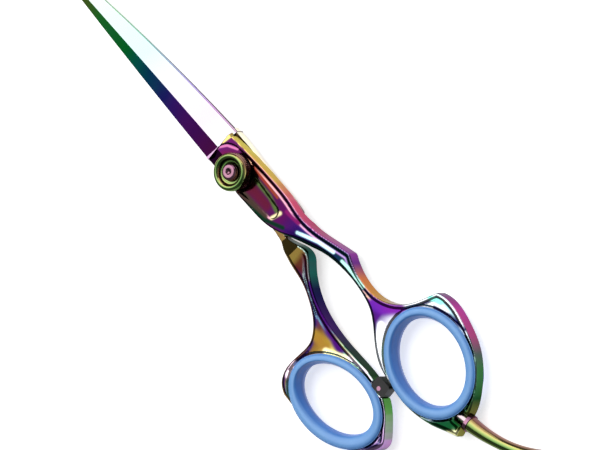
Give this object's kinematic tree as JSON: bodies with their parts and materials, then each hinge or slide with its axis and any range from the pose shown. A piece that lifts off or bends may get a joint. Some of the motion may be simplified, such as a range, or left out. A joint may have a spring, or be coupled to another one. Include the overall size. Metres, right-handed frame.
{
  "type": "thinning shears",
  "caption": "Hairdressing thinning shears: plain blade over toothed blade, offset ring handles with rubber inserts, tension dial and finger rest.",
  "frame": {"origin": "on the pivot axis, at the flat outer face of the pivot bolt's head", "axes": "+Z along the pivot axis, from the bolt's head up through both halves to the tension dial; +X from the pivot to the blade tips when closed; +Y from the pivot towards the thumb ring"},
  "size_m": [0.1852, 0.0493, 0.0099],
  "materials": {
    "coated_steel": "mirror-polished steel under a rainbow titanium coating",
    "plain_steel": "polished, uncoated",
    "nylon": "smooth, off-white",
    "insert_rubber": "satin blue rubber",
    "bumper_rubber": "satin black rubber"
  },
  "bodies": {
    "finger_side": {"finger_half": "coated_steel", "pivot_bushing": "nylon", "finger_insert": "insert_rubber", "finger_rest": "coated_steel", "rest_stud": "plain_steel", "rest_collar": "coated_steel"},
    "thumb_side": {"thumb_half": "coated_steel", "pivot_bolt": "coated_steel", "glide_washer": "nylon", "dial_washer": "plain_steel", "ratchet_plate": "plain_steel", "click_spring": "plain_steel", "cap_screw": "coated_steel", "thumb_insert": "insert_rubber", "bumper": "bumper_rubber", "bumper_screw": "coated_steel"},
    "dial": {"tension_dial": "coated_steel"}
  },
  "joints": [
    {"name": "blade_pivot", "type": "hinge", "parent": "finger_side", "child": "thumb_side", "pos_m": [0, 0, 0], "axis": [0, 0, -1], "range_deg": [0, 100]},
    {"name": "dial_turn", "type": "hinge", "parent": "thumb_side", "child": "dial", "pos_m": [0, 0, 0], "axis": [0, 0, 1], "range_deg": [-180, 180]}
  ]
}
